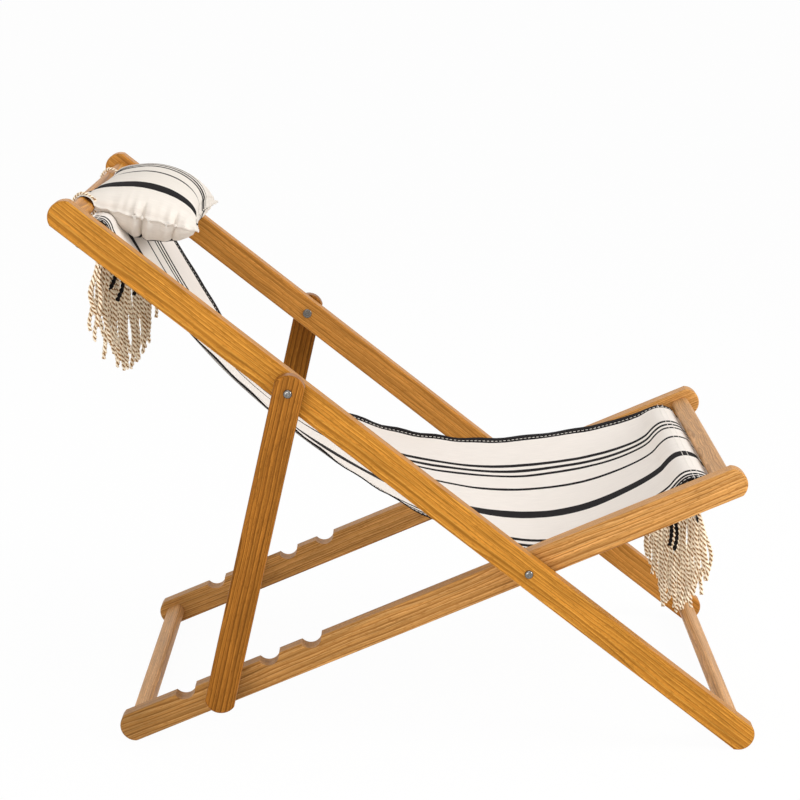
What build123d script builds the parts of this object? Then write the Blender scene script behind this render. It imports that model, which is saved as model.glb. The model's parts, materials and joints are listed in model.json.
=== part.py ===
from build123d import *
import os
from math import acos, asin, atan2, cos, hypot, pi, radians, sin, sqrt, tan

os.makedirs("parts", exist_ok=True)

# Folding sling chair: a seat frame and a back frame crossed at a pivot, a prop frame that holds the
# back in notches, a cloth sling hung on two rods and a head pillow tied to the top rail.
# Millimetres, +Z up, +X the way the sitter faces, +Y the sitter's left, floor at z = 0.

# Rail stock
rail_width = 44.0
rail_thickness = 28.0
end_ease = 2.0
edge_round = 3.0

# Reaches of the frames from the main pivot, along each rail
back_top_reach = 863.5
back_foot_reach = 426.5
seat_rear_reach = 658.5
seat_front_reach = 345.5
foot_flat = 1.0

# Widths across the chair
seat_inside_width = 484.0
washer_thickness = 1.8
face_clearance = 0.1
prop_thickness = 22.0

# Prop frame and its notches
prop_pivot_reach = 442.5
prop_length = 451.0
prop_head = 27.0
prop_tail = 43.0
prop_bar_diameter = 28.0
prop_tenon_diameter = 18.0
prop_tenon_length = 14.0
notch_clearance = 2.75
notch_depth = 12.3
notch_pitch = 68.5
first_notch_reach = 338.0
notch_count = 4
notch_in_use = 2
seat_gap = 0.3

# Cross bars and sling rods
bar_width = 29.0
bar_height = 20.0
bar_round = 8.0
tenon_diameter = 14.0
tenon_length = 16.0
rod_diameter = 16.0
rod_socket = 20.0
fit_clearance = 0.05
top_rail_inset = 30.5
top_rod_inset = 62.0
front_rail_inset = 32.0
front_rod_inset = 60.5
rear_bar_inset = 27.5
front_foot_inset = 28.5

# Pivot hardware and lock screws
bolt_diameter = 8.0
bolt_head_diameter = 13.0
bolt_head_height = 4.0
key_size = 4.0
key_depth = 2.0
nut_diameter = 15.0
nut_thickness = 3.5
nut_grip = 1.5
nut_round = 1.0
nut_key_size = 6.0
nut_key_depth = 1.2
washer_diameter = 24.0
screw_diameter = 4.0
screw_head_diameter = 8.0
screw_head_height = 2.5
screw_bite = 6.0

# Cloth sling: each edge is a line of points between the rods, given as the share of the way from the
# top rod to the front rod and the share of the greatest sag below the straight line between them
sling_width = 456.0
sling_thickness = 1.6
pocket_gap = 0.3
sling_sag = 214.0
left_edge = ((0.178, 0.527), (0.310, 0.939), (0.543, 1.0), (0.725, 0.794), (0.885, 0.356))
right_edge = ((0.181, 0.379), (0.361, 0.742), (0.582, 0.943), (0.774, 0.952), (0.866, 0.749))
sling_joint_radius = 260.0
sling_joint_gap = 0.5
tail_drop = 55.0
tail_inset = 8.0

# Fringe of cords below each tail, shortest at the right side where the sling hangs askew
strand_diameter = 8.0
strand_tip_diameter = 6.0
strand_count = 36
strand_short = 28.0
strand_long = 190.0
strand_ripple = 10.0
strand_sway = 6.0
strand_flare = 14.0

# Head pillow and its two ties
pillow_width = 324.0
pillow_depth = 172.0
pillow_waist = 8.0
pillow_crown = 52.0
pillow_belly = 46.0
pillow_low_share = 0.64
pillow_sag = 2.5
pillow_lift = 15.5
pillow_set_back = 3.0
pillow_tilt = 23.0
pillow_sections = ((1.0, 0.07), (0.86, 0.52), (0.5, 0.88), (0.0, 1.0))
tie_diameter = 5.5
tie_slack = 0.5
tie_inset = 17.0

# Sizes that follow
half_width = rail_width / 2
end_radius = half_width + end_ease
end_sagitta = end_radius - sqrt(end_radius**2 - half_width**2)
side_gap = washer_thickness + 2 * face_clearance
seat_inner = seat_inside_width / 2
seat_outer = seat_inner + rail_thickness
back_inner = seat_outer + side_gap
back_outer = back_inner + rail_thickness
prop_inner = back_outer + side_gap
prop_outer = prop_inner + prop_thickness
bar_radius = prop_bar_diameter / 2
notch_radius = bar_radius + notch_clearance
rod_radius = rod_diameter / 2

# The prop triangle sets how far the frames open: pivot to prop pivot, prop, pivot to seated bar
bar_along = first_notch_reach + notch_in_use * notch_pitch
bar_above = half_width - notch_depth + seat_gap + bar_radius
bar_reach = hypot(bar_along, bar_above)
wedge_cosine = (prop_pivot_reach**2 + bar_reach**2 - prop_length**2) / (2 * prop_pivot_reach * bar_reach)
wedge = acos(wedge_cosine) + atan2(bar_above, bar_along)

# Both rounded feet touch the floor, which sets the slope of each frame and the height of the pivot
back_leg = back_foot_reach - end_radius
seat_leg = seat_rear_reach - end_radius
foot_span = sqrt(back_leg**2 + seat_leg**2 + 2 * back_leg * seat_leg * cos(wedge))
pivot_rise = back_leg * seat_leg * sin(wedge) / foot_span
back_slope = asin(pivot_rise / back_leg)
seat_slope = asin(pivot_rise / seat_leg)
pivot_x = (back_top_reach - back_foot_reach) / 2 * cos(back_slope)
pivot_z = pivot_rise + end_radius - foot_flat


def side_plane(x, y, z, angle):
    """Upright plane facing the chair's right side, with its x axis at an angle to the floor."""
    return Plane(origin=(x, y, z), x_dir=(cos(angle), 0, sin(angle)), z_dir=(0, -1, 0))


def back_plane(y):
    return side_plane(pivot_x, y, pivot_z, -back_slope)


def seat_plane(y):
    return side_plane(pivot_x, y, pivot_z, seat_slope)


def upright_plane(y):
    return side_plane(0, y, 0, 0)


prop_pivot = back_plane(0).from_local_coords(Vector(-prop_pivot_reach, 0, 0))
bar_centre = seat_plane(0).from_local_coords(Vector(-bar_along, bar_above, 0))
prop_angle = atan2(bar_centre.Z - prop_pivot.Z, bar_centre.X - prop_pivot.X)


def prop_plane(y):
    return side_plane(prop_pivot.X, y, prop_pivot.Z, prop_angle)


# Places along the rails, from the main pivot
top_rail_at = (-(back_top_reach - top_rail_inset), 0)
top_rod_at = (-(back_top_reach - top_rod_inset), 0)
front_foot_at = (back_foot_reach - front_foot_inset, 0)
front_rail_at = (seat_front_reach - front_rail_inset, 0)
front_rod_at = (seat_front_reach - front_rod_inset, 0)
rear_bar_at = (-(seat_rear_reach - rear_bar_inset), 0)
prop_pivot_at = (-prop_pivot_reach, 0)
prop_bar_at = (prop_length, 0)
main_pivot_at = (0, 0)

sides = (("right", -1), ("left", 1))


def save(piece, name):
    piece.part.label = name
    export_step(piece.part, f"parts/{name}.step")


def stick(plane, start, end, thickness):
    """Flat rail with rounded ends and eased edges, between two places along its plane."""
    with BuildSketch(plane) as outline:
        with BuildLine():
            Line((start + end_sagitta, half_width), (end - end_sagitta, half_width))
            ThreePointArc((end - end_sagitta, half_width), (end, 0), (end - end_sagitta, -half_width))
            Line((end - end_sagitta, -half_width), (start + end_sagitta, -half_width))
            ThreePointArc((start + end_sagitta, -half_width), (start, 0), (start + end_sagitta, half_width))
        make_face()
    slab = extrude(outline.sketch, amount=thickness)
    fillet(slab.faces().filter_by(Axis.Y).edges(), edge_round)


def bore(plane, at, diameter, depth):
    """Round hole into a rail, running from the plane along its normal."""
    with BuildSketch(plane) as mouth:
        with Locations(at):
            Circle(diameter / 2 + fit_clearance)
    extrude(mouth.sketch, amount=depth, mode=Mode.SUBTRACT)


def rail_middle(plane):
    """Distance from the chair's centre to the middle of the back rails or of the seat rails."""
    inner = back_inner if plane is back_plane else seat_inner
    return inner + rail_thickness / 2


def upward_plane(plane, at, drop, side):
    """Plane below a rod at mid rail, facing up through the rail's width."""
    place = plane(side * rail_middle(plane))
    return Plane(place.from_local_coords(Vector(at[0], -drop, 0)), z_dir=place.y_dir)


def screw_hole(plane, at, drop, depth, side):
    """Hole for a lock screw, running up from a place below the rod's centre."""
    with BuildSketch(upward_plane(plane, at, drop, side)) as mouth:
        Circle(screw_diameter / 2 + fit_clearance)
    extrude(mouth.sketch, amount=depth, mode=Mode.SUBTRACT)


def cross_bar(plane, at, half_length):
    """Oblong bar with a round tenon at each end."""
    with BuildSketch(plane(0)) as section:
        with Locations(at):
            RectangleRounded(bar_width, bar_height, bar_round)
    extrude(section.sketch, amount=half_length, both=True)
    with BuildSketch(plane(0)) as tenon:
        with Locations(at):
            Circle(tenon_diameter / 2)
    extrude(tenon.sketch, amount=half_length + tenon_length, both=True)


# Seat rails: the inner pair, with the notches on their top edges
for side_name, side in sides:
    inner_face = seat_plane(side * seat_inner)
    with BuildPart() as seat_rail:
        stick(inner_face, -seat_rear_reach, seat_front_reach, -side * rail_thickness)
        with BuildSketch(inner_face):
            for notch in range(notch_count):
                notch_along = -(first_notch_reach + notch * notch_pitch)
                with Locations((notch_along, half_width - notch_depth + notch_radius)):
                    Circle(notch_radius)
        extrude(amount=-side * rail_thickness, mode=Mode.SUBTRACT)
        bore(inner_face, main_pivot_at, bolt_diameter, -side * rail_thickness)
        bore(inner_face, front_rail_at, tenon_diameter, -side * tenon_length)
        bore(inner_face, rear_bar_at, tenon_diameter, -side * tenon_length)
        bore(inner_face, front_rod_at, rod_diameter, -side * rod_socket)
        screw_hole(seat_plane, front_rod_at, half_width, half_width, side)
        split(bisect_by=Plane.XY, keep=Keep.TOP)
    save(seat_rail, f"seat_rail_{side_name}")

# Back rails: the outer pair, from the front feet up to the top
for side_name, side in sides:
    inner_face = back_plane(side * back_inner)
    with BuildPart() as back_rail:
        stick(inner_face, -back_top_reach, back_foot_reach, -side * rail_thickness)
        bore(inner_face, main_pivot_at, bolt_diameter, -side * rail_thickness)
        bore(inner_face, prop_pivot_at, bolt_diameter, -side * rail_thickness)
        bore(inner_face, top_rail_at, tenon_diameter, -side * tenon_length)
        bore(inner_face, front_foot_at, tenon_diameter, -side * tenon_length)
        bore(inner_face, top_rod_at, rod_diameter, -side * rod_socket)
        screw_hole(back_plane, top_rod_at, half_width, half_width, side)
        split(bisect_by=Plane.XY, keep=Keep.TOP)
    save(back_rail, f"back_rail_{side_name}")

# Prop legs: outside the back rails, rounded at both ends
for side_name, side in sides:
    inner_face = prop_plane(side * prop_inner)
    with BuildPart() as prop_leg:
        stick(inner_face, -prop_head, prop_length + prop_tail, -side * prop_thickness)
        bore(inner_face, main_pivot_at, bolt_diameter, -side * prop_thickness)
        bore(inner_face, prop_bar_at, prop_tenon_diameter, -side * prop_tenon_length)
    save(prop_leg, f"prop_leg_{side_name}")

# Prop bar: the round bar that drops into the notches
with BuildPart() as prop_bar:
    with BuildSketch(prop_plane(0)):
        with Locations(prop_bar_at):
            Circle(bar_radius)
    extrude(amount=prop_inner, both=True)
    with BuildSketch(prop_plane(0)):
        with Locations(prop_bar_at):
            Circle(prop_tenon_diameter / 2)
    extrude(amount=prop_inner + prop_tenon_length, both=True)
save(prop_bar, "prop_bar")

# Cross bars of the two frames
for bar_name, plane, at, half_length in (
    ("top_rail", back_plane, top_rail_at, back_inner),
    ("front_foot_bar", back_plane, front_foot_at, back_inner),
    ("front_rail", seat_plane, front_rail_at, seat_inner),
    ("rear_foot_bar", seat_plane, rear_bar_at, seat_inner),
):
    with BuildPart() as wooden_bar:
        cross_bar(plane, at, half_length)
    save(wooden_bar, bar_name)

# Sling rods, and the lock screws that hold them in their sockets
for end_name, plane, at, inner in (
    ("top", back_plane, top_rod_at, back_inner),
    ("front", seat_plane, front_rod_at, seat_inner),
):
    with BuildPart() as sling_rod:
        with BuildSketch(plane(0)):
            with Locations(at):
                Circle(rod_radius)
        extrude(amount=inner + rod_socket, both=True)
        for side_name, side in sides:
            screw_hole(plane, at, half_width, half_width - rod_radius + screw_bite, side)
    save(sling_rod, f"{end_name}_sling_rod")

    with BuildPart() as lock_screws:
        for side_name, side in sides:
            rail_edge = upward_plane(plane, at, half_width, side)
            with BuildSketch(rail_edge):
                Circle(screw_head_diameter / 2)
            head = extrude(amount=-screw_head_height)
            fillet(head.faces().sort_by(Axis((0, 0, 0), rail_edge.z_dir))[0].edges(), screw_head_height / 2)
            with BuildSketch(rail_edge):
                Circle(screw_diameter / 2)
            extrude(amount=half_width - rod_radius + screw_bite)
    save(lock_screws, f"{end_name}_lock_screws")

# Pivot bolts, nuts and washers: heads outside, nuts on the inner faces, washers between the rails
for pivot_name, at, head_face, washer_face, nut_face in (
    ("main_pivot", main_pivot_at, back_outer, seat_outer, seat_inner),
    ("prop_pivot", prop_pivot_at, prop_outer, back_outer, back_inner),
):
    with BuildPart() as bolts:
        for side_name, side in sides:
            with BuildSketch(back_plane(side * (nut_face - nut_grip))):
                with Locations(at):
                    Circle(bolt_diameter / 2)
            extrude(amount=-side * (head_face - nut_face + nut_grip + face_clearance))
            with BuildSketch(back_plane(side * (head_face + face_clearance))):
                with Locations(at):
                    Circle(bolt_head_diameter / 2)
            head = extrude(amount=-side * bolt_head_height)
            crown = head.faces().sort_by(Axis((0, 0, 0), (0, side, 0)))[-1]
            fillet(crown.edges(), bolt_head_height * 0.9)
            with BuildSketch(back_plane(side * (head_face + face_clearance + bolt_head_height))):
                with Locations(at):
                    RegularPolygon(key_size / 2, 6, major_radius=False)
            extrude(amount=side * key_depth, mode=Mode.SUBTRACT)
    save(bolts, f"{pivot_name}_bolts")

    with BuildPart() as nuts:
        for side_name, side in sides:
            with BuildSketch(back_plane(side * (nut_face - face_clearance))):
                with Locations(at):
                    Circle(nut_diameter / 2)
            cap = extrude(amount=side * nut_thickness)
            rim = cap.faces().sort_by(Axis((0, 0, 0), (0, side, 0)))[0]
            fillet(rim.edges(), nut_round)
            with BuildSketch(back_plane(side * (nut_face - face_clearance))):
                with Locations(at):
                    Circle(bolt_diameter / 2 + fit_clearance)
            extrude(amount=side * (nut_grip - face_clearance + fit_clearance), mode=Mode.SUBTRACT)
            with BuildSketch(back_plane(side * (nut_face - face_clearance - nut_thickness))):
                with Locations(at):
                    RegularPolygon(nut_key_size / 2, 6, major_radius=False)
            extrude(amount=-side * nut_key_depth, mode=Mode.SUBTRACT)
    save(nuts, f"{pivot_name}_nuts")

    with BuildPart() as washers:
        for side_name, side in sides:
            with BuildSketch(back_plane(side * (washer_face + face_clearance))):
                with Locations(at):
                    Circle(washer_diameter / 2)
                    Circle(bolt_diameter / 2 + fit_clearance, mode=Mode.SUBTRACT)
            extrude(amount=-side * washer_thickness)
    save(washers, f"{pivot_name}_washers")

# Cloth sling, one sheet on the real chair: it is parted on a cylinder about the main pivot, so that
# the back half moves with the back frame and the seat half stays with the seat frame
top_rod = back_plane(0).from_local_coords(Vector(*top_rod_at, 0))
front_rod = seat_plane(0).from_local_coords(Vector(*front_rod_at, 0))
pocket_radius = rod_radius + pocket_gap + sling_thickness / 2


def sling_points(edge):
    """Middle line of one sling edge, from over the top rod to over the front rod."""
    start = Vector(top_rod.X, top_rod.Z)
    run = Vector(front_rod.X, front_rod.Z) - start
    below = Vector(run.Y, -run.X).normalized()
    hung = [start + run * share + below * (sag * sling_sag) for share, sag in edge]
    first = (hung[0] - start).normalized()
    last = (hung[-1] - start - run).normalized()
    over_top = start + Vector(-first.Y, first.X) * pocket_radius
    over_front = start + run + Vector(last.Y, -last.X) * pocket_radius
    return [over_top, *hung, over_front]


def cloth_edge(points, offset):
    """One face line of the cloth: points and corner radii, offset from the middle line."""
    runs = [b - a for a, b in zip(points, points[1:])]
    normals = [Vector(-run.Y, run.X).normalized() for run in runs]
    corners = [points[0] + normals[0] * offset]
    radii = []
    for point, before, after, a, b in zip(points[1:], runs, runs[1:], normals, normals[1:]):
        turn = acos(min(1.0, a.dot(b)))
        bend = 1 if before.cross(after).Z > 0 else -1
        corners.append(point + (a + b) * (offset / (1 + a.dot(b))))
        radii.append(0.45 * min(before.length, after.length) / tan(turn / 2) - bend * offset)
    corners.append(points[-1] + normals[-1] * offset)
    return corners, radii


def edge_face(side, edge):
    """Thin closed outline of the sheet at one of its long edges."""
    points = sling_points(edge)
    upper, upper_radii = cloth_edge(points, sling_thickness / 2)
    lower, lower_radii = cloth_edge(points, -sling_thickness / 2)
    with BuildSketch(upright_plane(side * sling_width / 2)) as outline:
        with BuildLine():
            FilletPolyline(*upper, radius=upper_radii)
            FilletPolyline(*lower, radius=lower_radii)
            Line(upper[0], lower[0])
            Line(upper[-1], lower[-1])
        make_face()
    return outline.sketch.face()


def hang_sling():
    """Whole sheet between the rods, with the pocket round each rod and the tail that hangs from it."""
    loft([edge_face(-1, right_edge), edge_face(1, left_edge)], ruled=True)
    for rod, inward in ((top_rod, 1), (front_rod, -1)):
        tail_x = rod.X + inward * tail_inset
        with BuildSketch(upright_plane(0)) as pocket:
            with Locations((tail_x, rod.Z - tail_drop / 2)):
                Rectangle(sling_thickness, tail_drop)
            with Locations((rod.X, rod.Z)):
                Circle(pocket_radius + sling_thickness / 2)
                Circle(pocket_radius - sling_thickness / 2, mode=Mode.SUBTRACT)
        extrude(pocket.sketch, amount=sling_width / 2, both=True)


with BuildPart() as sling_back:
    hang_sling()
    split(bisect_by=Plane.YZ.offset(pivot_x), keep=Keep.BOTTOM)
    with Locations(back_plane(0)):
        Cylinder(sling_joint_radius + sling_joint_gap / 2, sling_width + rail_width, mode=Mode.SUBTRACT)
save(sling_back, "sling_back")

with BuildPart() as sling_seat:
    hang_sling()
    with BuildSketch(upright_plane(0)):
        with Locations((pivot_x - back_top_reach, pivot_z)):
            Rectangle(2 * back_top_reach, 2 * back_top_reach)
        with Locations((pivot_x, pivot_z)):
            Circle(sling_joint_radius - sling_joint_gap / 2, mode=Mode.SUBTRACT)
    extrude(amount=sling_width, both=True, mode=Mode.SUBTRACT)
save(sling_seat, "sling_seat")

# Fringes: a row of cords hung from the hem of each tail
for end_name, rod, inward in (("top", top_rod, 1), ("front", front_rod, -1)):
    hem_x = rod.X + inward * tail_inset
    hem_z = rod.Z - tail_drop
    with BuildPart() as fringe:
        for strand in range(strand_count):
            share = (strand + 0.5) / strand_count
            strand_y = (share - 0.5) * sling_width
            growth = sin(pi * (0.1 + 0.6 * share))
            ripple = strand_ripple * sin(strand * 2.4)
            length = strand_short + (strand_long - strand_short) * growth + ripple
            sway = strand_sway * sin(strand * 1.7) + inward * strand_flare * (2 * share - 1)
            with BuildSketch(Plane.XY.offset(hem_z)):
                with Locations((hem_x, strand_y)):
                    Circle(strand_diameter / 2)
            with BuildSketch(Plane.XY.offset(hem_z - length)):
                with Locations((hem_x + sway, strand_y)):
                    Circle(strand_tip_diameter / 2)
            loft()
    save(fringe, f"fringe_{end_name}")


# Head pillow: a stuffed cushion lying over the top of the sling
def pillow_plane(y):
    seam = back_plane(y).from_local_coords(Vector(top_rail_at[0] - pillow_set_back, pillow_lift, 0))
    return side_plane(seam.X, y, seam.Z, radians(pillow_tilt) - back_slope)


with BuildPart() as pillow:
    shares = [(-share, fullness) for share, fullness in pillow_sections]
    shares += [(share, fullness) for share, fullness in reversed(pillow_sections[:-1])]
    for share, fullness in shares:
        rear = pillow_waist * fullness
        front = pillow_depth - rear
        low = pillow_depth * pillow_low_share
        belly = -pillow_belly * fullness
        sag = pillow_sag * fullness
        with BuildSketch(pillow_plane(share * pillow_width / 2)):
            with BuildLine():
                ThreePointArc((rear, 0), (pillow_depth / 2, pillow_crown * fullness), (front, 0))
                ThreePointArc((front, 0), ((front + low) / 2 + 2 * sag, belly / 2 - 2 * sag), (low, belly))
                ThreePointArc((low, belly), ((low + rear) / 2, belly / 2 - sag), (rear, 0))
            make_face()
    loft()
save(pillow, "pillow")

# Ties: a rope loop round the top rail, through each rear corner of the pillow
tie_corner = hypot(bar_width / 2 - bar_round, bar_height / 2 - bar_round) + bar_round
tie_radius = tie_corner + tie_slack + tie_diameter / 2
for side_name, side in sides:
    tie_y = side * (pillow_width / 2 - tie_inset)
    loop_middle = back_plane(tie_y).from_local_coords(Vector(*top_rail_at, 0))
    with BuildPart() as tie:
        with Locations(Plane(loop_middle, z_dir=(0, -1, 0))):
            Torus(tie_radius, tie_diameter / 2)
    save(tie, f"pillow_tie_{side_name}")
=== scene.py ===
import json
import math

import bpy
import numpy as np
from mathutils import Matrix, Vector


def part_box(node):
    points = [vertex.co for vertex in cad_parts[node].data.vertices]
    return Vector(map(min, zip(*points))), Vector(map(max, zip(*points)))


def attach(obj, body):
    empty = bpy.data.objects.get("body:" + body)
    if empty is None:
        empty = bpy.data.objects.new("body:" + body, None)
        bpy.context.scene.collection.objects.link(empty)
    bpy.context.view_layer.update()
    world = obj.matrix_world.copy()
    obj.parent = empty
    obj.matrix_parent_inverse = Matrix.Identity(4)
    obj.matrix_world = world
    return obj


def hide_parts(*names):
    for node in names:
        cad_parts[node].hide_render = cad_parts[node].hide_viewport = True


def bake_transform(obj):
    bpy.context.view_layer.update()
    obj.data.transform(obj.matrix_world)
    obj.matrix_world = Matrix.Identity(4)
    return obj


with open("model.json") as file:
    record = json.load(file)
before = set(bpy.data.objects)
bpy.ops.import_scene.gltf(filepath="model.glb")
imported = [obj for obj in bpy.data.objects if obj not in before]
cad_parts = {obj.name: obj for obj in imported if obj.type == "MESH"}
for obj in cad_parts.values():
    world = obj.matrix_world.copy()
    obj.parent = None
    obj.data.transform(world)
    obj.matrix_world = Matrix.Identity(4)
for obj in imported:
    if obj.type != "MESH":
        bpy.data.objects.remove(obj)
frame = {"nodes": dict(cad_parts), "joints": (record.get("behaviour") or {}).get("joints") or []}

scene = bpy.context.scene
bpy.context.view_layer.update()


# Camera: stands about three metres off the chair's right side, a little above its top, with a long lens.
# The place and tilt come from the rail ends, the pivots and the notches in the photograph.
camera_data = bpy.data.cameras.new("camera")
sensor_width = 36.0
photo_pixels, focal_pixels = 800, 2031.5
camera_data.sensor_width = sensor_width
camera_data.lens = sensor_width * focal_pixels / photo_pixels
camera = bpy.data.objects.new("camera", camera_data)
scene.collection.objects.link(camera)
pitch, yaw, roll = math.radians(13.491), math.radians(-0.13), math.radians(0.071)
forward = Vector((math.sin(yaw) * math.cos(pitch), math.cos(yaw) * math.cos(pitch), -math.sin(pitch)))
rightward = forward.cross(Vector((0, 0, 1))).normalized()
upward = rightward.cross(forward)
rightward, upward = (
    rightward * math.cos(roll) + upward * math.sin(roll),
    upward * math.cos(roll) - rightward * math.sin(roll),
)
camera_place = (-0.0103, -3.11685, 1.2098)
camera_turn = Matrix((rightward, upward, -forward)).transposed().to_4x4()
camera.matrix_world = Matrix.Translation(camera_place) @ camera_turn
scene.camera = camera
scene.view_settings.view_transform = "Standard"


# Studio: a plain pale floor that keeps a faint shadow, a white surround and four large soft lamps: one on
# the camera's side, one overhead, the strongest off the foot end, and a weak one behind.
def linear(code):
    """sRGB hex colour as linear RGBA."""
    parts = [int(code[i : i + 2], 16) / 255 for i in (1, 3, 5)]
    return (*[p / 12.92 if p <= 0.04045 else ((p + 0.055) / 1.055) ** 2.4 for p in parts], 1.0)


def add(tree, kind, inputs=None, **settings):
    """Adds a node with its settings; an input is a value, or a socket to link from."""
    node = tree.nodes.new(kind)
    for name, value in settings.items():
        setattr(node, name, value)
    for name, value in (inputs or {}).items():
        if isinstance(value, bpy.types.NodeSocket):
            tree.links.new(value, node.inputs[name])
        else:
            node.inputs[name].default_value = value
    return node


def new_material(name):
    """An empty node material, with its tree."""
    material = bpy.data.materials.new(name)
    material.use_nodes = True
    material.node_tree.nodes.clear()
    return material, material.node_tree


def seen_plainly(tree):
    """1 for what the camera sees directly, in a mirror or through glass, and 0 for light on the object."""
    seen = add(tree, "ShaderNodeLightPath").outputs
    mirrored = add(
        tree,
        "ShaderNodeMath",
        {0: seen["Is Glossy Ray"], 1: seen["Is Transmission Ray"]},
        operation="MAXIMUM",
    )
    either = add(
        tree,
        "ShaderNodeMath",
        {0: seen["Is Camera Ray"], 1: mirrored.outputs[0]},
        operation="MAXIMUM",
    )
    return either.outputs[0]


floor_mesh = bpy.data.meshes.new("floor")
floor_reach = 30
floor_corners = [(x * floor_reach, y * floor_reach, 0) for x, y in ((-1, -1), (1, -1), (1, 1), (-1, 1))]
floor_mesh.from_pydata(floor_corners, [], [(0, 1, 2, 3)])
floor = bpy.data.objects.new("floor", floor_mesh)
scene.collection.objects.link(floor)
floor_paint, tree = new_material("matt_white_floor")
diffuse = add(tree, "ShaderNodeBsdfDiffuse", {"Color": linear("#f4f3f1")})
white = linear("#ffffff")
floor_glow = 0.965
glow = add(tree, "ShaderNodeEmission", {"Color": white, "Strength": 1.0})
share = add(tree, "ShaderNodeMath", {0: seen_plainly(tree), 1: floor_glow}, operation="MULTIPLY")
both = add(tree, "ShaderNodeMixShader", {0: share.outputs[0], 1: diffuse.outputs[0], 2: glow.outputs[0]})
add(tree, "ShaderNodeOutputMaterial", {"Surface": both.outputs[0]})
floor_mesh.materials.append(floor_paint)

world = bpy.data.worlds.new("studio")
scene.world = world
world.use_nodes = True
tree = world.node_tree
tree.nodes.clear()
fill_light = 0.60
level = add(tree, "ShaderNodeMapRange", {"Value": seen_plainly(tree), "To Min": fill_light, "To Max": 1.0})
around = add(tree, "ShaderNodeBackground", {"Color": white, "Strength": level.outputs[0]})
add(tree, "ShaderNodeOutputWorld", {"Surface": around.outputs[0]})

lamp_target = Vector((0, 0, 0.4))
for lamp_name, place, size, power in (
    ("camera_side_softbox", (-0.9, -3.1, 0.95), 2.2, 41),
    ("overhead_softbox", (0.2, -0.5, 3.3), 2.0, 18),
    ("foot_end_softbox", (2.7, -1.0, 1.8), 1.6, 52),
    ("far_softbox", (-0.6, 2.4, 2.2), 1.8, 8),
):
    lamp = bpy.data.lights.new(lamp_name, "AREA")
    lamp.shape = "DISK"
    lamp.size = size
    lamp.energy = power
    lamp_object = bpy.data.objects.new(lamp_name, lamp)
    lamp_object.location = place
    towards = lamp_target - Vector(place)
    lamp_object.rotation_euler = towards.to_track_quat("-Z", "Y").to_euler()
    scene.collection.objects.link(lamp_object)


# Rails, prop legs, cross bars and rods: oiled teak, sawn along the grain and planed, with eased edges.
# Each board is cut from its own place in the log, so each has its own rings and its own tone.
def middle(node):
    """The middle of a node's box."""
    low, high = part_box(node)
    return (low + high) / 2


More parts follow.
